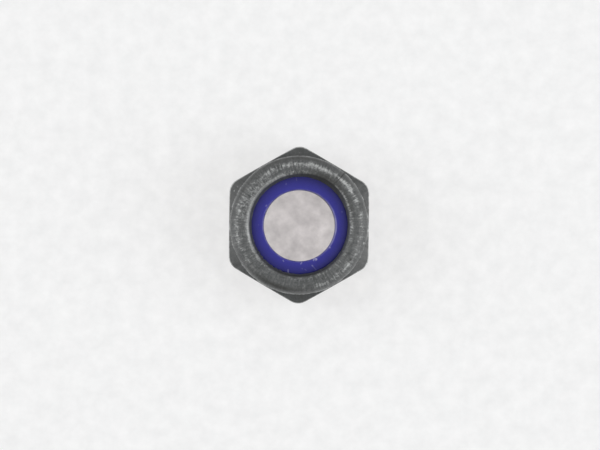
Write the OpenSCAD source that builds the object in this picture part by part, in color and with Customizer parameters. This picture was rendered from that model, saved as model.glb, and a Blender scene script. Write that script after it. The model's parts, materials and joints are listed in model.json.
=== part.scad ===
// Hexagon lock nut for a coarse metric thread: a cold-formed steel body whose round collar
// is rolled in over a nylon ring. The ring's bore is smaller than the thread, so it grips
// the screw that passes through. Millimetres. +Z runs along the thread towards the ring,
// +X is square to a flat, and the origin is the middle of the bearing face.

/* [Hexagon] */
// Width across two opposite flats
flats_w = 16.8; // [16.2:0.1:17.4]
// Radius of the six upright corners
corner_r = 1.7; // [0.6:0.1:2.4]
// Height of the hexagon, from the bearing face to the foot of the collar
hex_h = 7; // [6:0.1:7.8]
// Slope of the chamfers that take off the corners above and below, from level
chamfer_angle = 30; // [15:1:36]
// How far the edge of the bearing face lies inside the flats
bearing_step = 0.55; // [0.2:0.05:1]
// How far the foot of the collar lies inside the flats
collar_step = 0.12; // [0.05:0.01:0.4]

/* [Thread] */
// Nominal diameter of the thread
thread_d = 10; // [9.5:0.1:10.5]
// Pitch of the thread
pitch = 1.5; // [1:0.25:1.75]
// How much wider the bore is than the exact inner diameter of the thread
bore_allowance = 0.24; // [0:0.02:0.3]
// Length of the threaded bore, from the bearing face to the ledge under the ring
thread_l = 6.7; // [5.5:0.1:7.5]
// How far the countersink in the bearing face is wider than the thread, on the radius
mouth_over = 0.4; // [0.1:0.05:0.8]
// How far the countersink at the ledge is wider than the thread, on the radius
ledge_over = 0.2; // [0.1:0.05:0.5]
// Slope of both countersinks, from the axis
countersink_angle = 45; // [35:5:60]

/* [Collar] */
// How far the wall of the collar leans in between its foot and its shoulder
collar_lean = 0.03; // [0:0.01:0.2]
// Thickness of the wall of the collar, at its shoulder
collar_t = 1.45; // [1.2:0.05:1.7]
// Radius of the rolled shoulder
shoulder_r = 1.4; // [1.2:0.05:1.6]
// How far the rolled rim reaches in over the ring
rim_overhang = 0.97; // [0.7:0.01:1.2]
// Height of the rolled rim above the top face of the ring
rim_rise = 0.9; // [0.7:0.05:1.1]
// Slope of the end face of the rim, from level
rim_angle = 65; // [60:1:80]
// How far the inner edge of the bevel, between end face and crown, lies below the crown
bevel_drop = 0.34; // [0.2:0.02:0.4]
// Slope of that bevel, from level
bevel_angle = 42; // [30:1:50]
// How far the underside of the rim falls from its tip to the wall
rim_drop = 0.6; // [0.3:0.05:0.9]

/* [Ring] */
// Thickness of the ring
ring_t = 2.4; // [1.8:0.1:2.8]
// How far the bore of the ring lies inside the thread, on the radius
ring_bite = 0.62; // [0.4:0.02:0.75]
// Chamfer on both edges of the bore of the ring
ring_edge = 0.15; // [0.05:0.05:0.3]
// Clearance between the ring and the wall and rim of the collar
ring_gap = 0.02; // [0.01:0.01:0.05]

/* [Hidden] */
$fn = 96;
steel_colour = "#63666a";
nylon_colour = "#3d3b88";

// How far a cutting shape runs past the face that it cuts
past = 1;
// How far the rounds of the corners stand proud of the flats, so that both meet in an edge
round_lap = 0.001;

// Hexagon
flat_r = flats_w / 2;
bearing_r = flat_r - bearing_step;
foot_r = flat_r - collar_step;
chamfer_reach = 3;
chamfer_fall = chamfer_reach * tan(chamfer_angle);

// Thread: a 60 degree thread leaves a crest 5/16 of sqrt(3) times the pitch deep in the nut
thread_r = thread_d / 2;
crest_r = thread_r - 5 / 16 * sqrt(3) * pitch + bore_allowance / 2;
mouth_r = thread_r + mouth_over;
ledge_r = thread_r + ledge_over;
mouth_depth = (mouth_r - crest_r) / tan(countersink_angle);
ledge_depth = (ledge_r - crest_r) / tan(countersink_angle);

// Ring, and the collar that holds it
ring_top = thread_l + ring_t;
collar_r = foot_r - collar_lean;
recess_r = collar_r - collar_t;
ring_r = recess_r - ring_gap;
ring_bore_r = thread_r - ring_bite;
rim_r = recess_r - rim_overhang;
nut_h = ring_top + rim_rise;
shoulder_z = nut_h - shoulder_r;

// Hexagon across the flats, with its upright corners rounded: three bars and six rounds
module rounded_hexagon() {
    corner_centre_r = flat_r - corner_r;
    bar_w = 2 * corner_centre_r * tan(30);
    for (turn = [0 : 60 : 120])
        rotate(turn)
            square([flats_w, bar_w], center = true);
    for (turn = [30 : 60 : 330])
        rotate(turn)
            translate([corner_centre_r / cos(30), 0])
                circle(r = corner_r + round_lap);
}

// Half section of the outside: both corner chamfers, the collar and its rolled shoulder
module outside_section() {
    polygon([
        [0, 0],
        [bearing_r, 0],
        [bearing_r + chamfer_reach, chamfer_fall],
        [foot_r + chamfer_reach, hex_h - chamfer_fall],
        [foot_r, hex_h],
        [collar_r, shoulder_z],
        [collar_r - shoulder_r, shoulder_z],
        [0, nut_h],
    ]);
    translate([collar_r - shoulder_r, shoulder_z])
        circle(r = shoulder_r);
}

// Half section of the hollow: countersunk bore, recess of the ring, and the opening that
// the sloping end face of the rim and its bevel leave above it
module hollow_section() {
    bevel_r = rim_r + (rim_rise - bevel_drop) / tan(rim_angle);
    bevel_run = (bevel_drop + past) / tan(bevel_angle);
    polygon([
        [0, -past],
        [mouth_r, -past],
        [mouth_r, 0],
        [crest_r, mouth_depth],
        [crest_r, thread_l - ledge_depth],
        [ledge_r, thread_l],
        [recess_r, thread_l],
        [recess_r, ring_top - rim_drop],
        [rim_r, ring_top],
        [bevel_r, nut_h - bevel_drop],
        [bevel_r + bevel_run, nut_h + past],
        [0, nut_h + past],
    ]);
}

// Half section of the ring, which sits on the ledge and fills the recess under the rim
module ring_section() {
    polygon([
        [ring_bore_r, thread_l + ring_edge],
        [ring_bore_r + ring_edge, thread_l],
        [ring_r, thread_l],
        [ring_r, ring_top - rim_drop],
        [rim_r - ring_gap, ring_top],
        [ring_bore_r + ring_edge, ring_top],
        [ring_bore_r, ring_top - ring_edge],
    ]);
}

// Steel body. The bore is left at the crests of the thread.
module nut_body() {
    color(steel_colour)
        intersection() {
            linear_extrude(nut_h + past) rounded_hexagon();
            rotate_extrude()
                difference() {
                    outside_section();
                    hollow_section();
                }
        }
}

// Nylon ring, which the rolled rim traps
module nylon_insert() {
    color(nylon_colour)
        rotate_extrude() ring_section();
}

nut_body();
nylon_insert();
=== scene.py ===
import json
import math

import bmesh
import bpy
import numpy as np
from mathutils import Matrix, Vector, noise


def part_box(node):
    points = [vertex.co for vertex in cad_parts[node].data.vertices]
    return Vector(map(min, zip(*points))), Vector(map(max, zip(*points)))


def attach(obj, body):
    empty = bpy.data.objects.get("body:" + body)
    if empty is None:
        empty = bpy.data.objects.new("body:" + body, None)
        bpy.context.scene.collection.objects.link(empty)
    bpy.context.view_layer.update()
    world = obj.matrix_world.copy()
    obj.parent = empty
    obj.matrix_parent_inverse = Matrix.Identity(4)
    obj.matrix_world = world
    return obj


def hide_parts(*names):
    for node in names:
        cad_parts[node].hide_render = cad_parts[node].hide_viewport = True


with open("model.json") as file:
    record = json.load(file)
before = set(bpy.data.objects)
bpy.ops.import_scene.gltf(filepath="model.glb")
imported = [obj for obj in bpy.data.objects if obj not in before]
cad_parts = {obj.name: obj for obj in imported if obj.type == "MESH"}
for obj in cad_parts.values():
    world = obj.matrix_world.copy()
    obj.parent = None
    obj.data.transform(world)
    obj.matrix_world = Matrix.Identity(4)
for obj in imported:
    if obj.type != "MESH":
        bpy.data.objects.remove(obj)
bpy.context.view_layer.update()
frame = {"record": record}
scene = bpy.context.scene
scene.view_settings.view_transform = "Standard"

# Camera
# The photograph looks straight down on the nut through a long lens. The hexagon lies a
# pixel left of the middle, and is turned a little clockwise.
MM = 0.001
IMAGE_W, IMAGE_H = 600, 450
SENSOR_W = 36
NUT_CENTRE_PX = (299.0, 225.1)
NUT_FLATS_PX = 139.8
NUT_TURN = math.radians(0.62)
CAMERA_H = 430 * MM
CLIP_START = 10 * MM

mounts = {mount["name"]: mount for mount in frame["record"]["mounts"]}
flat_r = mounts["spanner_flat_right"]["pos_m"][0]
flats_top = 6.9 * MM
px_per_m = NUT_FLATS_PX / (2 * flat_r)

lens = bpy.data.cameras.new("long_lens")
lens.sensor_width = SENSOR_W
lens.lens = px_per_m * (CAMERA_H - flats_top) * SENSOR_W / IMAGE_W
lens.clip_start = CLIP_START
camera = bpy.data.objects.new("camera", lens)
scene.collection.objects.link(camera)
off_x = (IMAGE_W / 2 - NUT_CENTRE_PX[0]) / px_per_m
off_y = (NUT_CENTRE_PX[1] - IMAGE_H / 2) / px_per_m
camera.location = (
    off_x * math.cos(NUT_TURN) - off_y * math.sin(NUT_TURN),
    off_x * math.sin(NUT_TURN) + off_y * math.cos(NUT_TURN),
    CAMERA_H,
)
camera.rotation_euler.z = NUT_TURN
scene.camera = camera


# Steel body
# The real body is cold-formed from steel wire in one piece, then tapped, and its collar is
# rolled in over the ring. It is phosphated and oiled: dark, matt and rubbed bright where
# nuts knock against each other in the bin.
_, nut_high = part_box("nut_body")
nut_h = nut_high.z
corner_r = 1.7 * MM
corner_past = 1.1 * MM
hex_h = 7.0 * MM
chamfer_slope = math.tan(math.radians(30))
bearing_r = flat_r - 0.55 * MM
foot_r = flat_r - 0.12 * MM
collar_r = foot_r - 0.03 * MM
shoulder_r = 1.4 * MM
recess_r = collar_r - 1.45 * MM
rim_drop = 0.6 * MM
rim_r = recess_r - 0.97 * MM
rim_bite = 0.03 * MM

ring_low, ring_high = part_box("nylon_insert")
ledge_z, ring_top = ring_low.z, ring_high.z
crest_r = mounts["thread"]["dims"]["r_mm"] * MM
thread_r = 5.0 * MM
pitch = 1.5 * MM
mouth_r = thread_r + 0.4 * MM
ledge_r = thread_r + 0.2 * MM
tap_off_x, tap_off_y = 0.03 * MM, -0.09 * MM
thread_wear = 0.6

BODY_COLUMNS = 480
ROWS_PER_TURN = 16
SHOULDER_STEPS = 40
FACE_STEPS = 8
WELD = 1e-6

BLOOM_DARK, BLOOM_PALE = "#2e3131", "#666868"
BARE_STEEL = "#d4d6d5"
PIT_AND_SHADE_BLACK = "#1b1a14"

# Kinds of node that every tree here uses, and the sockets of a Mix node that mixes colours
MATH = "ShaderNodeMath"
VECTOR_MATH = "ShaderNodeVectorMath"
NOISE = "ShaderNodeTexNoise"
RANGE = "ShaderNodeMapRange"
MIX = "ShaderNodeMix"
COLOUR_A, COLOUR_B, MIXED_COLOUR = 6, 7, 2


def add(tree, kind, inputs=(), out=0, **settings):
    """Adds a node with its settings and links, and returns one of its outputs, or all of them
    where out is None. Inputs are values or outputs, by socket or in order."""
    node = tree.nodes.new(kind)
    for name, value in settings.items():
        setattr(node, name, value)
    by_socket = inputs if isinstance(inputs, dict) else dict(enumerate(inputs))
    for socket, value in by_socket.items():
        if isinstance(value, bpy.types.NodeSocket):
            tree.links.new(value, node.inputs[socket])
        else:
            node.inputs[socket].default_value = value
    return node.outputs if out is None else node.outputs[out]


def linear(code):
    """The linear colour of an sRGB hex code."""
    shades = [int(code[i : i + 2], 16) / 255 for i in (1, 3, 5)]
    return [s / 12.92 if s <= 0.04045 else ((s + 0.055) / 1.055) ** 2.4 for s in shades] + [1]


def phosphated_steel():
    """Zinc phosphate and oil on cold-formed steel: a matt dark grey-green bloom of fine crystals,
    rubbed through to bright steel in spots on whatever stands proud. The bright spots also paint
    the lamps' highlights on the shoulder and the nose, and the dark pit colour also paints shade
    under the rim, on the shoulder and on the chamfers."""
    material = bpy.data.materials.new("phosphated_steel")
    material.use_nodes = True
    tree = material.node_tree
    tree.nodes.clear()

    place = add(tree, "ShaderNodeTexCoord", out="Object")
    in_mm = add(tree, VECTOR_MATH, {0: place, "Scale": 1 / MM}, operation="SCALE")
    flat = add(tree, VECTOR_MATH, [in_mm, (1, 1, 0)], operation="MULTIPLY")
    spoke = add(tree, VECTOR_MATH, [flat], operation="NORMALIZE")
    reach = add(tree, VECTOR_MATH, [flat], out="Value", operation="LENGTH")
    height = add(tree, "ShaderNodeSeparateXYZ", [in_mm], out="Z")
    along = add(tree, MATH, [reach, height], operation="ADD")
    wear_and_sheen, skin, pits_and_shade = [
        add(tree, "ShaderNodeAttribute", out="Fac", attribute_name=name)
        for name in ("wear_and_sheen", "skin", "pits_and_shade")
    ]

    def streaks(per_radian, per_mm):
        """Noise stretched along the spokes, or round the axis, by what it holds of each."""
        run = add(tree, MATH, [along, per_mm], operation="MULTIPLY")
        lift = add(tree, "ShaderNodeCombineXYZ", {"Z": run})
        spread = add(tree, VECTOR_MATH, {0: spoke, "Scale": per_radian}, operation="SCALE")
        at = add(tree, VECTOR_MATH, [spread, lift], operation="ADD")
        return add(tree, NOISE, {"Vector": at, "Scale": 1.0, "Detail": 3, "Roughness": 0.6})

    def weighed(*parts):
        """Sum of patterns, each times its weight."""
        total = 0.0
        for pattern, weight in parts:
            total = add(tree, MATH, [pattern, weight, total], operation="MULTIPLY_ADD")
        return total

    # Hatching from the drawing die, 0.2 mm wide, along the spokes on top and upright on the
    # sides, and rings from the roller, as wide, round the axis
    hatch = streaks(per_radian=34, per_mm=1.2)
    rings = streaks(per_radian=7, per_mm=5)

    # The real crystals are a hundredth of a millimetre, so they are drawn twenty times as
    # coarse, with knocks of twice that width between them
    crystals = add(tree, NOISE, {"Vector": in_mm, "Scale": 5.0, "Detail": 4, "Roughness": 0.75})
    knocks = add(tree, NOISE, {"Vector": in_mm, "Scale": 2.6, "Detail": 4, "Roughness": 0.65})
    clouds = add(tree, NOISE, {"Vector": in_mm, "Scale": 0.7, "Detail": 3, "Roughness": 0.6})

    # How far each spot is rubbed through: in spots where the skin is rough, and evenly
    # where it was rolled or pressed smooth
    scratched = weighed((rings, 0.5), (hatch, 1.1))
    broken = weighed((scratched, 1.0), (knocks, 0.9), (crystals, 0.9))
    average = 1.7  # half of the weights of its four patterns
    off_average = add(tree, MATH, [broken, average], operation="SUBTRACT")
    uneven_by = add(tree, MATH, [skin, 0.9, 0.1], operation="MULTIPLY_ADD")
    spotted = add(tree, MATH, [off_average, uneven_by, average], operation="MULTIPLY_ADD")
    pushed = add(tree, MATH, [spotted, wear_and_sheen], operation="ADD")
    bare = add(
        tree,
        RANGE,
        {"Value": pushed, "From Min": 1.94, "From Max": 2.86},
        interpolation_type="SMOOTHSTEP",
    )

    # The bloom is darkest where the die pressed it smooth, and palest on the rolled collar. Raised
    # skin on the chamfers towards 30 and 210 degrees makes them paler, a painted light.
    mottle = weighed((clouds, 0.2), (scratched, 0.25), (crystals, 0.3), (knocks, 0.25))
    shade = add(tree, RANGE, {"Value": mottle, "From Min": 0.46, "From Max": 0.68})
    thick_bloom_and_light = add(tree, MATH, [skin, 0.75, 0.25], operation="MULTIPLY_ADD")
    pale = add(tree, MATH, [shade, thick_bloom_and_light], operation="MULTIPLY")
    bloom = add(
        tree,
        MIX,
        {"Factor": pale, COLOUR_A: linear(BLOOM_DARK), COLOUR_B: linear(BLOOM_PALE)},
        out=MIXED_COLOUR,
        data_type="RGBA",
    )
    shown = add(
        tree,
        MIX,
        {"Factor": bare, COLOUR_A: bloom, COLOUR_B: linear(BARE_STEEL)},
        out=MIXED_COLOUR,
        data_type="RGBA",
    )
    pitted_and_shaded = add(
        tree,
        MIX,
        {"Factor": pits_and_shade, COLOUR_A: shown, COLOUR_B: linear(PIT_AND_SHADE_BLACK)},
        out=MIXED_COLOUR,
        data_type="RGBA",
    )

    # Bare spots are metal and a little glossier. Pits are full of dull dirt, and painted shade
    # takes the same dull dark colour.
    metal = add(tree, MATH, [bare, 0.9], operation="MULTIPLY")
    clean_rough = add(tree, RANGE, {"Value": bare, "To Min": 0.42, "To Max": 0.36})
    rough = add(tree, MIX, {"Factor": pits_and_shade, "A": clean_rough, "B": 0.85})
    grain = weighed((knocks, 1.0), (scratched, 0.6), (crystals, 0.8))
    relief_by = add(tree, MATH, [skin, 0.8], operation="MULTIPLY")
    relief = add(
        tree, "ShaderNodeBump", {"Height": grain, "Strength": relief_by, "Distance": 0.05 * MM}
    )
    surface = add(
        tree,
        "ShaderNodeBsdfPrincipled",
        {
            "Base Color": pitted_and_shaded,
            "Metallic": metal,
            "Roughness": rough,
            "Specular IOR Level": 0.8,
            "Normal": relief,
        },
    )
    add(tree, "ShaderNodeOutputMaterial", {"Surface": surface}, out=None)
    return material


def thread_tree():
    """Geometry Nodes for a tapped bore: a sheet of helical rows, wrapped round the axis
    with each row at the radius that the thread has there, and widened at both ends to
    the countersinks."""
    tree = bpy.data.node_groups.new("tapped_bore", "GeometryNodeTree")
    sizes = ("Crest Radius", "Root Radius", "Pitch", "Length", "Mouth Radius", "Ledge Radius")
    for name in sizes:
        tree.interface.new_socket(name, in_out="INPUT", socket_type="NodeSocketFloat")
    for name in ("Columns", "Rows per Turn"):
        tree.interface.new_socket(name, in_out="INPUT", socket_type="NodeSocketInt")
    tree.interface.new_socket("Material", in_out="INPUT", socket_type="NodeSocketMaterial")
    tree.interface.new_socket("Geometry", in_out="OUTPUT", socket_type="NodeSocketGeometry")
    given = add(tree, "NodeGroupInput", out=None)

    # The sheet: one column per step round the bore, one row per step up the helix
    pitches = add(tree, MATH, [given["Length"], given["Pitch"]], operation="DIVIDE")
    whole = add(tree, MATH, [pitches], operation="CEIL")
    turns = add(tree, MATH, [whole, 1.0], operation="ADD")
    rows = add(tree, MATH, [turns, given["Rows per Turn"]], operation="MULTIPLY")
    sheet = add(
        tree,
        "GeometryNodeMeshGrid",
        {
            "Size X": 1.0,
            "Size Y": 1.0,
            "Vertices X": add(tree, MATH, [given["Columns"], 1.0], operation="ADD"),
            "Vertices Y": add(tree, MATH, [rows, 1.0], operation="ADD"),
        },
        out="Mesh",
    )
    spot = add(tree, "GeometryNodeInputPosition")
    spot_x, spot_y, _ = add(tree, "ShaderNodeSeparateXYZ", [spot], out=None)
    round_share = add(tree, MATH, [spot_x, 0.5], operation="ADD")
    up_share = add(tree, MATH, [spot_y, 0.5], operation="ADD")
    turns_up = add(tree, MATH, [up_share, turns], operation="MULTIPLY")
    above_start = add(tree, MATH, [turns_up, 1.0], operation="SUBTRACT")

    # Height of each point, held within the bore
    climbed = add(tree, MATH, [above_start, round_share], operation="ADD")
    climb = add(tree, MATH, [climbed, given["Pitch"]], operation="MULTIPLY")
    not_below = add(tree, MATH, [climb, 0.0], operation="MAXIMUM")
    height = add(tree, MATH, [not_below, given["Length"]], operation="MINIMUM")

    # The thread there: flanks 60 degrees apart, and a root an eighth of the pitch wide
    root_edge = 7 / 16
    from_crest = add(tree, MATH, [above_start, 0.5], operation="PINGPONG")
    off_root = add(tree, MATH, [root_edge, from_crest], operation="SUBTRACT")
    below_root = add(tree, MATH, [off_root, given["Pitch"]], operation="MULTIPLY")
    inward = add(tree, MATH, [below_root, math.sqrt(3)], operation="MULTIPLY")
    flank = add(tree, MATH, [given["Root Radius"], inward], operation="SUBTRACT")
    crested = add(tree, MATH, [flank, given["Crest Radius"]], operation="MAXIMUM")
    thread = add(tree, MATH, [crested, given["Root Radius"]], operation="MINIMUM")

    # The countersinks, at 45 degrees
    mouth = add(tree, MATH, [given["Mouth Radius"], height], operation="SUBTRACT")
    to_ledge = add(tree, MATH, [given["Length"], height], operation="SUBTRACT")
    ledge = add(tree, MATH, [given["Ledge Radius"], to_ledge], operation="SUBTRACT")
    sunk = add(tree, MATH, [mouth, ledge], operation="MAXIMUM")
    radius = add(tree, MATH, [thread, sunk], operation="MAXIMUM")

    angle = add(tree, MATH, [round_share, math.tau], operation="MULTIPLY")
    cosine = add(tree, MATH, [angle], operation="COSINE")
    sine = add(tree, MATH, [angle], operation="SINE")
    x = add(tree, MATH, [radius, cosine], operation="MULTIPLY")
    y = add(tree, MATH, [radius, sine], operation="MULTIPLY")
    place = add(tree, "ShaderNodeCombineXYZ", [x, y, height])
    wrapped = add(tree, "GeometryNodeSetPosition", {"Geometry": sheet, "Position": place})
    turned = add(tree, "GeometryNodeFlipFaces", {"Mesh": wrapped})
    welded = add(tree, "GeometryNodeMergeByDistance", {"Geometry": turned, "Distance": WELD})
    real = add(tree, "GeometryNodeRealizeInstances", {"Geometry": welded})
    dressed = add(
        tree, "GeometryNodeSetMaterial", {"Geometry": real, "Material": given["Material"]}
    )
    add(tree, "NodeGroupOutput", {"Geometry": dressed}, out=None)
    return tree


def grown(tree, name, values):
    """Runs a Geometry Nodes tree on an empty mesh and returns the plain mesh it makes."""
    holder = bpy.data.objects.new(name, bpy.data.meshes.new(name))
    scene.collection.objects.link(holder)
    nodes = holder.modifiers.new(name, "NODES")
    nodes.node_group = tree
    for item in tree.interface.items_tree:
        if item.in_out == "INPUT" and item.name in values:
            nodes[item.identifier] = values[item.name]
    shown = holder.evaluated_get(bpy.context.evaluated_depsgraph_get())
    mesh = bpy.data.meshes.new_from_object(shown)
    bpy.data.objects.remove(holder)
    return mesh


def hexagon_reach(angle):
    """Radius of the rounded hexagon in a direction, with flats facing +X and -X."""
    from_flat = abs((angle + math.pi / 6) % (math.pi / 3) - math.pi / 6)
    corner_at = (flat_r - corner_r) / math.cos(math.pi / 6)
    if flat_r * math.tan(from_flat) <= corner_at / 2:
        return flat_r / math.cos(from_flat)
    from_corner = math.pi / 6 - from_flat
    across = corner_at * math.sin(from_corner)
    return corner_at * math.cos(from_corner) + math.sqrt(corner_r**2 - across**2)


def bent(before, corner, after, bend, steps=4):
    """Points of the rounding of one corner of a half section."""
    here = np.array(corner)
    back, on = np.array(before) - here, np.array(after) - here
    back, on = back / np.linalg.norm(back), on / np.linalg.norm(on)
    half = math.acos(np.clip(back @ on, -1, 1)) / 2
    middle = here + (back + on) / np.linalg.norm(back + on) * bend / math.sin(half)
    start = here + back * bend / math.tan(half) - middle
    end = here + on * bend / math.tan(half) - middle
    sweep = math.pi - 2 * half
    shares = [step / steps for step in range(steps + 1)]
    return [
        middle + (math.sin((1 - s) * sweep) * start + math.sin(s * sweep) * end) / math.sin(sweep)
        for s in shares
    ]


def edged(corners, skins):
    """Points of a half section through corners of (radius, height, rounding, wear), each
    point with its wear and skin. Each corner is rounded, and its wear fades beside it."""
    fade = 0.06 * MM
    spaces = 7
    arcs = [[np.array(corners[0][:2])]]
    for before, corner, after in zip(corners, corners[1:], corners[2:]):
        arcs.append(bent(before[:2], corner[:2], after[:2], corner[2]))
    arcs.append([np.array(corners[-1][:2])])
    points = []
    for at, arc in enumerate(arcs):
        skin = skins[min(at, len(skins) - 1)]
        points += [(*spot, corners[at][3], skin) for spot in arc]
        if at + 1 == len(arcs):
            break
        # Two points close to each end, where the wear fades, and the others spread evenly
        start, end = arc[-1], arcs[at + 1][0]
        gap = np.linalg.norm(end - start)
        near = [min(0.07 * MM, 0.15 * gap), min(0.3 * MM, 0.4 * gap)]
        between = [near[1] + (gap - 2 * near[1]) * step / spaces for step in range(1, spaces)]
        for way in near + between + [gap - d for d in reversed(near)]:
            brightened = corners[at][3] * math.exp(-way / fade)
            brightened += corners[at + 1][3] * math.exp(-(gap - way) / fade)
            points.append((*(start + (end - start) * way / gap), min(brightened, 1), skins[at]))
    return points


def bump(value, middle, width, power=2):
    """A smooth bump: 1 in the middle, next to 0 past its width, flatter at a high power."""
    return math.exp(-(abs((value - middle) / width) ** power))


def beside(angle, middle, width, power=2):
    """A smooth bump round a direction, in degrees."""
    off = (math.degrees(angle) - middle + 180) % 360 - 180
    return bump(off, 0, width, power)


def swell(angle, bumps):
    """Sum of bumps round the nut, each of (strength, direction, width) or with its power."""
    return sum(strength * beside(angle, *where) for strength, *where in bumps)


# How the body varies round the nut: bumps of (strength, direction, width), in degrees from the
# right, and a power where one is flat on top. The roller left the rim blunt and pressed it in at
# the left, and other nuts have rubbed the shoulder and the nose in patches. Those bright patches
# are also painted highlights on the shoulder and the nose. The chamfers and the end face of the rim
# are darkened by painted shade.
RIM_BLUNT = [(1.15, 163, 66, 4), (0.6, 0, 22), (0.2, 182, 18)]
RIM_PRESSED = [(0.12, 175, 50), (0.08, 120, 24), (0.04, 0, 25)]
FOOT_ROLLED = [(0.12, 110, 25), (0.12, 255, 25), (-0.15, 15, 30), (-0.15, 195, 30)]
CORNER_SHADE = [(0.17, 150, 25), (0.1, 90, 25), (0.1, 270, 25)]
SHOULDER_RUB_AND_SHEEN = [
    (0.39, 46, 31),
    (0.31, 98, 34),
    (0.16, 188, 36),
    (0.16, 325, 40),
    (0.18, 302, 22),
    (-0.15, 248, 25),
    (0.1, 118, 14),
    (0.1, 66, 14),
]
RUB_AND_SHEEN_TILT = [(-9, 90, 45), (-3, 132, 28), (2, 182, 25), (5, 322, 42), (4, 298, 16)]
NOSE_POLISH_AND_HIGHLIGHT = [
    (0.26, 163, 66, 4),
    (0.2, 198, 28),
    (0.14, 105, 25),
    (0.22, 0, 22),
    (0.12, 122, 20),
    (0.1, 283, 25),
    (0.08, 212, 14),
]
FACE_SHADE = [(-0.6, 158, 68, 4), (-0.4, 345, 40), (0.4, 62, 30), (0.4, 268, 42)]

# Painted shade on the shoulder, by its tilt from level, and beside the nose, by the tilt past it:
# bumps of (strength, direction, width, tilt, width), in degrees
SHOULDER_SHADE = [(0.55, 92, 42, 58, 18), (0.75, 250, 27, 41, 17), (0.3, 150, 20, 48, 18)]
NOSE_SHADE = [(0.75, 60, 22, 3, 25), (0.35, 30, 20, 14, 10)]


def rim_nose(angle):
    """Radius of the nose of the rolled rim, and how far over the crown it starts. The roller
    left it bluntest at the left and sharpest at the upper right."""
    wave = 0.5 * math.sin(7 * angle) + 0.3 * math.sin(19 * angle + 1) + 0.2 * math.sin(41 * angle)
    blunt = swell(angle, RIM_BLUNT)
    radius = 0.5 + 0.1 * blunt - 0.33 * beside(angle, 52, 24) + 0.03 * wave
    return radius * MM, math.radians(20 + 9 * blunt)


def rim_point(angle):
    """Radius of the rim's lowest edge, which touches the ring with small teeth and gaps."""
    teeth = 0.5 * math.sin(23 * angle) + 0.3 * math.sin(37 * angle + 2) + 0.4 * math.sin(5 * angle)
    jagged = 0.06 * beside(angle, 226, 34) * math.sin(59 * angle) * math.sin(7 * angle)
    pressed = swell(angle, RIM_PRESSED) + jagged
    return rim_r + (0.04 * math.cos(angle + math.radians(43)) + 0.02 * teeth - pressed) * MM


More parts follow.
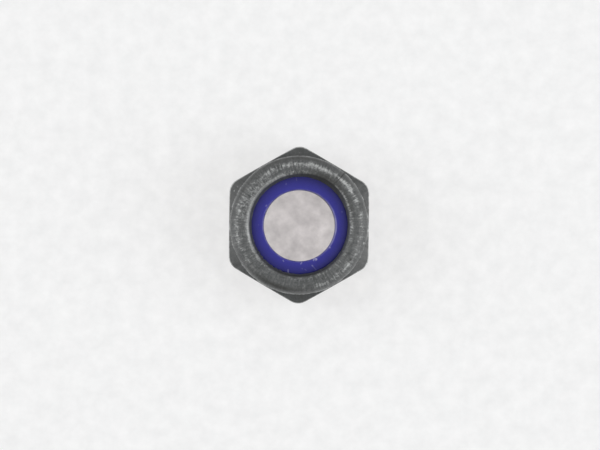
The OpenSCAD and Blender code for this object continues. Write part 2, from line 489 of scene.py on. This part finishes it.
def body_section(angle):
    """Half section of the body in a direction, from the mouth of the bore round the
    outside to the ledge under the ring."""
    reach = hexagon_reach(angle)
    around = (math.cos(angle), math.sin(angle))
    drift = noise.noise((4 * around[0], 4 * around[1], 0))
    blotch = noise.noise((9 * around[0], 9 * around[1], 5))
    specks = noise.noise((16 * around[0], 16 * around[1], 9))
    low_z = (reach - bearing_r) * chamfer_slope
    high_z = hex_h - (reach - foot_r) * chamfer_slope
    corner = (reach - flat_r) / corner_past
    corner_round = 0.04 + 0.08 * beside(angle, 115, 40)
    foot_wear = 0.58 + 0.5 * blotch + swell(angle, FOOT_ROLLED)
    shoulder = np.array((collar_r - shoulder_r, nut_h - shoulder_r))
    hexagon = [
        (mouth_r, 0, 0, 0.2),
        (bearing_r, 0, 0.25 * MM, 0.7),
        (reach, low_z, 0.15 * MM, 0.8),
        (reach, high_z, (0.11 + corner_round * corner) * MM, 0.5 + 0.4 * corner),
        (foot_r, hex_h, 0.09 * MM, foot_wear),
        (collar_r, shoulder[1], 0, 0.15),
    ]
    # The chamfers are paler towards 30 and 210 degrees, a painted light from the side lamps
    chamfer_skin_and_light = 0.3 + swell(angle, [(0.25, 30, 20), (0.25, 210, 20)])
    points = edged(hexagon, (0.4, 0.3, 0.45, chamfer_skin_and_light, 0.8))[:-1]
    # Dark specks of dirt, and painted shade on the chamfers at back, front and upper left
    specks_and_shade = swell(angle, CORNER_SHADE) + 0.3 * max(0, specks)
    points = [(*point, specks_and_shade) for point in points]

    # The shoulder and the crown, to where the nose of the rim starts. They are rubbed bright in a
    # patchy band round the shoulder and beside the nose. That band is also a painted highlight, set
    # at the tilt where the lamps' highlight falls. Painted shade darkens the shoulder at back and
    # front, and the crown beside the nose at the upper right.
    rub_and_sheen = (0.15 + swell(angle, SHOULDER_RUB_AND_SHEEN)) * (1 + 0.8 * blotch)
    rub_and_sheen_at = 27 + swell(angle, RUB_AND_SHEEN_TILT) + 7 * drift
    rub_and_sheen_width = 15 + 5 * beside(angle, 180, 40) - 4 * blotch
    polish_and_highlight = 0.15 + swell(angle, NOSE_POLISH_AND_HIGHLIGHT)
    # A painted highlight on the sharp nose at the upper right
    edge_shine = 0.4 * beside(angle, 36, 18)
    left_rub = 0.35 * beside(angle, 152, 28)
    smooth = 0.95 * beside(angle, 163, 58, 4)
    nose_r, nose_tilt = rim_nose(angle)
    for step in range(SHOULDER_STEPS):
        tilt = math.pi / 2 - (math.pi / 2 + nose_tilt) * step / SHOULDER_STEPS
        leaning = math.degrees(tilt)
        beyond_nose = math.degrees(tilt + nose_tilt)
        brightened = 0.08 + left_rub * bump(leaning, -5, 17) + rub_and_sheen * bump(leaning, rub_and_sheen_at, rub_and_sheen_width)
        brightened += polish_and_highlight * bump(beyond_nose, 0, 13) + edge_shine * bump(beyond_nose, 0, 6)
        dark = 0
        for strength, direction, width, at_tilt, tilt_width in SHOULDER_SHADE:
            dark += strength * beside(angle, direction, width) * bump(leaning, at_tilt, tilt_width)
        for strength, direction, width, past, past_width in NOSE_SHADE:
            dark += strength * beside(angle, direction, width) * bump(beyond_nose, past, past_width)
        side = np.array((math.sin(tilt), math.cos(tilt)))
        skin = 1 - smooth * bump(beyond_nose, 0, 15)
        points.append((*(shoulder + shoulder_r * side), brightened, skin, dark))

    # The nose, and the end face that runs down from it to the ring. The end face is painted dark, a
    # painted shade in the gap over the ring, and so is the rim's lowest edge at the upper right.
    over = np.array((-math.sin(nose_tilt), math.cos(nose_tilt)))
    nose = shoulder + (shoulder_r - nose_r) * over
    point = np.array((rim_point(angle), ring_top - rim_bite))
    across, up = nose - point
    slope = math.atan2(up, across) + math.asin(nose_r / math.hypot(across, up))
    face_shade = 0.6 + swell(angle, FACE_SHADE)
    nose_shade = 0.75 * beside(angle, 60, 22)
    for step in range(FACE_STEPS + 1):
        share = step / FACE_STEPS
        tilt = -nose_tilt - (slope - nose_tilt) * share
        side = np.array((math.sin(tilt), math.cos(tilt)))
        low = share**2 * (3 - 2 * share)
        dark = face_shade * low + nose_shade * (1 - low)
        brightened = polish_and_highlight * (1 - share**3) + edge_shine * (1 - share) ** 2
        points.append((*(nose + nose_r * side), brightened, 1 - smooth, dark))
    points.append((*point, 0, 0.3, 0.7 * beside(angle, 62, 32)))
    for hidden in ((recess_r, ring_top - rim_drop), (recess_r, ledge_z), (ledge_r, ledge_z)):
        points.append((*hidden, 0, 0, 0))
    return points


def revolved(section, columns, layers):
    """A bmesh of the section taken at each angle, joined column to column. What a section
    point has beyond its radius and height goes into the named layers."""
    shell = bmesh.new()
    kept = [shell.verts.layers.float.new(name) for name in layers]
    rings = []
    for column in range(columns):
        angle = math.tau * column / columns
        ring = []
        for r, z, *extra in section(angle):
            vert = shell.verts.new((r * math.cos(angle), r * math.sin(angle), z))
            for layer, value in zip(kept, extra):
                vert[layer] = value
            ring.append(vert)
        rings.append(ring)
    for here, there in zip(rings, rings[1:] + rings[:1]):
        for low in range(len(here) - 1):
            shell.faces.new((here[low], there[low], there[low + 1], here[low + 1]))
    return shell


def finished(shell, name, material, sharp):
    """Closes a bmesh, turns its faces outwards and makes it a piece of the nut."""
    bmesh.ops.remove_doubles(shell, verts=shell.verts, dist=WELD)
    bmesh.ops.recalc_face_normals(shell, faces=shell.faces)
    mesh = bpy.data.meshes.new(name)
    shell.to_mesh(mesh)
    shell.free()
    mesh.materials.clear()
    mesh.materials.append(material)
    mesh.shade_smooth()
    mesh.set_sharp_from_angle(angle=math.radians(sharp))
    piece = bpy.data.objects.new(name, mesh)
    scene.collection.objects.link(piece)
    return piece


def tapped_aside(shell):
    """Moves the bore a tenth of a millimetre off the middle of the hexagon, where the tap
    ran, and lets the faces round it follow. The gauge screw has rubbed its thread bright."""
    wear_and_sheen = shell.verts.layers.float["wear_and_sheen"]
    for vert in shell.verts:
        if vert.co.xy.length < ledge_r:
            vert[wear_and_sheen] = thread_wear
        if vert.co.z < ledge_z + WELD:
            share = (vert.co.xy.length - mouth_r) / (recess_r - mouth_r)
            share = 1 - min(max(share, 0), 1)
            vert.co.x += tap_off_x * share
            vert.co.y += tap_off_y * share


def uneven(shell, layer):
    """Dents a bmesh by hundredths of a millimetre, in dents 0.4 mm wide and swells 1.2 mm
    wide, as deep as the layer says."""
    depth = shell.verts.layers.float[layer]
    shell.normal_update()
    for vert in shell.verts:
        if vert[depth] > 0:
            spot = vert.co / MM
            fall = 0.012 * noise.noise(spot * 2.6) + 0.016 * noise.noise(spot * 0.8)
            vert.co += vert.normal * fall * vert[depth] * MM


def scuffed(shell, layer, strokes, above):
    """Presses strokes of (x, y, x, y, half width, depth, strength), in millimetres seen
    from above, into whatever lies above a height, and paints them into the layer."""
    cut_off = 2.5  # half widths from the middle of a stroke, past which nothing gives way
    paint = shell.verts.layers.float[layer]
    verts = [vert for vert in shell.verts if vert.co.z > above]
    here = np.array([vert.co.xy for vert in verts]) / MM
    fall, tone = np.zeros(len(verts)), np.zeros(len(verts))
    for x1, y1, x2, y2, half_w, depth, strength in strokes:
        start, way = np.array((x1, y1)), np.array((x2 - x1, y2 - y1))
        share = np.clip((here - start) @ way / max(way @ way, 1e-9), 0, 1)
        off = np.linalg.norm(here - start - share[:, None] * way, axis=1) / half_w
        pressed = np.exp(-(off**2)) * (off < cut_off)
        fall += depth * pressed
        tone = np.maximum(tone, strength * pressed)
    for vert, low, shade in zip(verts, fall, tone):
        vert.co.z -= low * MM
        vert[paint] = max(vert[paint], shade)


# Dark pits and one crack in the collar
steel_marks = [
    (4.36, 5.13, 4.74, 5.55, 0.09, 0.06, 0.9),
    (4.74, 5.55, 5.02, 5.86, 0.08, 0.04, 0.7),
    (5.02, 5.86, 5.40, 6.29, 0.08, 0.06, 0.9),
    (6.12, -4.10, 6.22, -4.02, 0.11, 0.03, 0.7),
    (-5.85, -5.0, -5.65, -5.2, 0.08, 0.02, 0.5),
    (-1.2, 7.2, -0.9, 7.3, 0.08, 0.02, 0.5),
]
# Small bright nicks on the chamfers and the collar
steel_nicks = [
    (-7.84, 4.03, -7.82, 4.08, 0.11, 0.02, 0.8),
    (-7.47, 4.49, -7.45, 4.52, 0.10, 0.02, 0.6),
    (-0.06, 8.80, -0.02, 8.68, 0.08, 0.02, 0.7),
    (-0.40, 8.62, -0.52, 8.40, 0.06, 0.01, 0.4),
    (7.70, -2.20, 7.78, -2.02, 0.10, 0.02, 0.8),
    (-6.80, -3.10, -6.62, -2.98, 0.07, 0.02, 0.8),
    (-6.92, -2.84, -6.74, -2.76, 0.06, 0.02, 0.7),
]
steel = phosphated_steel()
bore = grown(
    thread_tree(),
    "tapped_bore",
    {
        "Crest Radius": crest_r,
        "Root Radius": thread_r,
        "Pitch": pitch,
        "Length": ledge_z,
        "Mouth Radius": mouth_r,
        "Ledge Radius": ledge_r,
        "Columns": BODY_COLUMNS,
        "Rows per Turn": ROWS_PER_TURN,
        "Material": steel,
    },
)
body_shell = revolved(body_section, BODY_COLUMNS, ["wear_and_sheen", "skin", "pits_and_shade"])
body_shell.from_mesh(bore)
tapped_aside(body_shell)
uneven(body_shell, "skin")
scuffed(body_shell, "pits_and_shade", steel_marks, hex_h)
scuffed(body_shell, "wear_and_sheen", steel_nicks, hex_h - 0.6 * MM)
body = finished(body_shell, "steel_body", steel, sharp=40)
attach(body, "root")
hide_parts("nut_body")


# Nylon ring
# The real ring is moulded from blue nylon and dropped on the ledge, and the rim is rolled
# down on its outer edge. It is smooth and satin, with a few pale nicks round its bore.
ring_bore_r = mounts["ring_bore"]["dims"]["r_mm"] * MM
ring_gap = 0.02 * MM
ring_r = recess_r - ring_gap
ring_edge = 0.15 * MM
ring_fall = 0.06 * MM
RING_COLUMNS = 720
TOP_STEPS = 24

NYLON_DARK, NYLON_PALE = "#2b298b", "#313092"
NYLON_RIM_SHADE = "#151466"
NYLON_BRUISE_AND_HIGHLIGHT = "#b4b2d2"


def moulded_nylon():
    """Nylon 6.6, moulded with a satin skin: even colour, soft highlights, and a pale bruise
    wherever it has been nicked. Its colour also holds a painted shade that darkens it towards the
    steel, and a painted highlight along the edge of the bore."""
    material = bpy.data.materials.new("moulded_nylon")
    material.use_nodes = True
    tree = material.node_tree
    tree.nodes.clear()
    place = add(tree, "ShaderNodeTexCoord", out="Object")
    in_mm = add(tree, VECTOR_MATH, {0: place, "Scale": 1 / MM}, operation="SCALE")
    bruise_and_highlight, depth = [
        add(tree, "ShaderNodeAttribute", out="Fac", attribute_name=name)
        for name in ("bruise_and_highlight", "depth")
    ]
    clouds = add(tree, NOISE, {"Vector": in_mm, "Scale": 1.6, "Detail": 4})
    fine = add(tree, NOISE, {"Vector": in_mm, "Scale": 8.0, "Detail": 3})
    base = add(
        tree,
        MIX,
        {"Factor": clouds, COLOUR_A: linear(NYLON_DARK), COLOUR_B: linear(NYLON_PALE)},
        out=MIXED_COLOUR,
        data_type="RGBA",
    )
    rim_shaded = add(
        tree,
        MIX,
        {"Factor": depth, COLOUR_A: base, COLOUR_B: linear(NYLON_RIM_SHADE)},
        out=MIXED_COLOUR,
        data_type="RGBA",
    )
    shown = add(
        tree,
        MIX,
        {"Factor": bruise_and_highlight, COLOUR_A: rim_shaded, COLOUR_B: linear(NYLON_BRUISE_AND_HIGHLIGHT)},
        out=MIXED_COLOUR,
        data_type="RGBA",
    )
    rough = add(tree, RANGE, {"Value": fine, "To Min": 0.36, "To Max": 0.50})
    relief = add(
        tree, "ShaderNodeBump", {"Height": fine, "Strength": 0.3, "Distance": 0.01 * MM}
    )
    surface = add(
        tree,
        "ShaderNodeBsdfPrincipled",
        {"Base Color": shown, "Roughness": rough, "IOR": 1.53, "Normal": relief},
    )
    add(tree, "ShaderNodeOutputMaterial", {"Surface": surface}, out=None)
    return material


def ring_section(angle):
    """Half section of the ring in a direction: up its bore, out over its slightly crowned top, down
    the edge under the rim, and back along the ledge. Its colour is darker the nearer it lies to the
    steel, a painted shade of the rim."""
    pulled_in = 0.09 + 0.07 * beside(angle, 100, 32)
    bore_r = ring_bore_r + (0.055 * math.cos(angle + math.radians(50)) - pulled_in) * MM
    under = (ring_r, ring_top - rim_drop)
    brow = (rim_r - ring_gap, ring_top)
    foot, low = (bore_r + ring_edge, ledge_z), (bore_r, ledge_z + ring_edge)
    high, bevel = (bore_r, ring_top - 2 * ring_edge), (bore_r, ring_top - ring_edge)
    inner = (bore_r + ring_edge, ring_top)
    lip = bent(bevel, inner, brow, 0.08 * MM, 3)
    fall = bent(lip[-1], brow, under, 0.12 * MM, 4)
    bore_side = [foot, low, high]
    top_side = bent(high, bevel, inner, 0.06 * MM, 3) + lip
    top_side += [lip[-1] + (fall[0] - lip[-1]) * step / TOP_STEPS for step in range(1, TOP_STEPS)]
    top_side += fall

    # A pale band round the edge of the bore, strongest on the right: whitened nylon and a painted
    # highlight on the edge
    right = beside(angle, 355, 42)
    edge_bruise_and_highlight = 0.18 + 0.36 * right + swell(angle, [(0.08, 225, 45), (0.15, 60, 55)])
    edge_bruise_and_highlight += 0.12 * math.sin(17 * angle) * math.sin(5 * angle)
    lip_at, lip_w = (0.04 + 0.05 * right) * MM, (0.08 + 0.02 * right) * MM
    section = [(r, z, 0, 0, 0) for r, z in bore_side]
    for r, z in top_side:
        share = min(max((r - bore_r) / (brow[0] - bore_r), 0), 1)
        # Painted shade of the rim: darker towards the steel, most towards the top
        depth = share**1.4 * (1 + 0.3 * beside(angle, 75, 35))
        bruise_and_highlight = edge_bruise_and_highlight * bump(r - bore_r, lip_at, lip_w)
        section.append((r, z - ring_fall * share**3, 1, min(depth, 1), bruise_and_highlight))
    section += [(*under, 0, 1, 0), (ring_r, ledge_z, 0, 1, 0), (*foot, 0, 0, 0)]
    return section


# Pale nicks and scratches, most of them where screws and fingers reach the bore
ring_marks = [
    (1.76, -4.06, 1.96, -3.98, 0.08, 0.03, 0.9),
    (1.98, -3.98, 2.14, -4.04, 0.08, 0.02, 0.8),
    (2.14, -4.06, 2.06, -4.20, 0.06, 0.02, 0.6),
    (1.76, -4.08, 1.80, -4.22, 0.06, 0.02, 0.5),
    (-1.86, -4.24, -1.78, -4.34, 0.06, 0.02, 0.35),
    (0.40, -4.42, 0.28, -4.62, 0.06, 0.02, 0.45),
    (-1.24, -5.36, -1.23, -5.66, 0.06, 0.03, 0.3),
    (1.62, -4.80, 1.70, -4.88, 0.06, 0.02, 0.35),
    (1.70, -4.88, 2.10, -5.34, 0.04, 0.01, 0.15),
    (0.76, -5.26, 0.92, -5.40, 0.05, 0.01, 0.12),
    (0.40, -5.16, 0.48, -5.24, 0.05, 0.01, 0.12),
    (-0.34, 5.32, -0.38, 5.66, 0.05, 0.01, 0.10),
    (-1.60, 4.86, -1.58, 4.92, 0.07, 0.01, 0.14),
    (5.12, 1.66, 5.14, 1.62, 0.07, 0.02, 0.14),
    (3.70, -2.58, 3.72, -2.66, 0.07, 0.03, 0.6),
    (-3.98, 2.22, -3.90, 2.34, 0.06, 0.02, 0.3),
    (-4.86, -0.02, -4.82, -0.02, 0.05, 0.01, 0.12),
]
nylon = moulded_nylon()
ring_shell = revolved(ring_section, RING_COLUMNS, ["skin", "depth", "bruise_and_highlight"])
uneven(ring_shell, "skin")
scuffed(ring_shell, "bruise_and_highlight", ring_marks, ring_top - 0.2 * MM)
ring = finished(ring_shell, "nylon_ring", nylon, sharp=60)
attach(ring, "root")
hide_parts("nylon_insert")


# Floor and light
# A plain pale sheet that glows a little, as on a light table, so the bore and the shadows
# stay pale. Wide soft lights stand on four sides, the strongest on the right, and little
# light comes from above.
FLOOR_W = 3.0
FLOOR_Z = -0.02 * MM
LIGHT_AWAY = 0.60
WIDE_LIGHT, SMALL_LIGHT = 0.50, 0.30

PAPER = "#8a8e90"
PAPER_GLOW, BORE_SHADE_GLOW = "#d3d1d0", "#d6d0cf"
STUDIO_WHITE = "#ffffff"


def shown_rays(tree):
    """1 for the rays of the camera, of mirrors and of glass, and 0 for all others."""
    ray = add(tree, "ShaderNodeLightPath", out=None)
    rays = [ray["Is Camera Ray"], ray["Is Glossy Ray"]]
    straight = add(tree, MATH, rays, operation="MAXIMUM")
    return add(tree, MATH, [straight, ray["Is Transmission Ray"]], operation="MAXIMUM")


def plain_paper():
    """Smooth matt white paper. Most of its brightness is light that comes through it. Inside the
    bore that glow is dimmer, a painted shade, and more mottled."""
    material = bpy.data.materials.new("plain_paper")
    material.use_nodes = True
    tree = material.node_tree
    tree.nodes.clear()
    place = add(tree, "ShaderNodeTexCoord", out="Object")
    reach = add(tree, VECTOR_MATH, [place], out="Value", operation="LENGTH")
    outside = add(tree, RANGE, {"Value": reach, "From Min": 5 * MM, "From Max": 7.5 * MM})
    clouds = add(
        tree, NOISE, {"Vector": place, "Scale": 0.5 / MM, "Detail": 3, "Roughness": 0.6}
    )
    bore_shaded = add(tree, RANGE, {"Value": clouds, "To Min": 0.33, "To Max": 1.19})
    clean = add(tree, RANGE, {"Value": clouds, "To Min": 0.87, "To Max": 1.13})
    through = add(tree, MIX, {"Factor": outside, "A": bore_shaded, "B": clean})
    glow = add(tree, MATH, [shown_rays(tree), through], operation="MULTIPLY")
    tint = add(
        tree,
        MIX,
        {"Factor": outside, COLOUR_A: linear(BORE_SHADE_GLOW), COLOUR_B: linear(PAPER_GLOW)},
        out=MIXED_COLOUR,
        data_type="RGBA",
    )
    surface = add(
        tree,
        "ShaderNodeBsdfPrincipled",
        {
            "Base Color": linear(PAPER),
            "Roughness": 0.9,
            "Specular IOR Level": 0.1,
            "Emission Color": tint,
            "Emission Strength": glow,
        },
    )
    add(tree, "ShaderNodeOutputMaterial", {"Surface": surface}, out=None)
    return material


half_w = FLOOR_W / 2
floor_mesh = bpy.data.meshes.new("floor")
floor_corners = [
    (x * half_w, y * half_w, FLOOR_Z) for x, y in ((-1, -1), (1, -1), (1, 1), (-1, 1))
]
floor_mesh.from_pydata(floor_corners, [], [(0, 1, 2, 3)])
floor_mesh.materials.append(plain_paper())
floor = bpy.data.objects.new("floor", floor_mesh)
scene.collection.objects.link(floor)


def softbox(name, azimuth, elevation, width, radiance):
    """A square soft light that faces the nut. Its power gives the radiance asked for."""
    lamp = bpy.data.lights.new(name, "AREA")
    lamp.shape = "SQUARE"
    lamp.size = width
    lamp.energy = radiance * math.pi * width**2
    box = bpy.data.objects.new(name, lamp)
    turn, rise = math.radians(azimuth), math.radians(elevation)
    box.location = (
        LIGHT_AWAY * math.cos(rise) * math.cos(turn),
        LIGHT_AWAY * math.cos(rise) * math.sin(turn),
        LIGHT_AWAY * math.sin(rise),
    )
    box.rotation_euler = (0, math.pi / 2 - rise, turn)
    scene.collection.objects.link(box)


softbox("right_light", -8, 36, WIDE_LIGHT, 2.7)
softbox("left_light", 175, 36, WIDE_LIGHT, 2.3)
softbox("back_light", 80, 50, SMALL_LIGHT, 1.1)
softbox("front_light", 290, 45, SMALL_LIGHT, 0.3)

# A dim room, with a backdrop that is brighter near the floor for the camera and the gloss
world = bpy.data.worlds.new("studio")
scene.world = world
world.use_nodes = True
sky = world.node_tree
sky.nodes.clear()
toward = add(sky, "ShaderNodeTexCoord", out="Generated")
upward = add(sky, "ShaderNodeSeparateXYZ", [toward], out="Z")
backdrop = add(
    sky,
    RANGE,
    {"Value": upward, "From Min": 0.05, "From Max": 0.5, "To Min": 0.85, "To Max": 0.3},
)
strength = add(sky, MIX, {"Factor": shown_rays(sky), "A": 0.35, "B": backdrop})
glow = add(
    sky, "ShaderNodeBackground", {"Color": linear(STUDIO_WHITE), "Strength": strength}
)
add(sky, "ShaderNodeOutputWorld", {"Surface": glow}, out=None)
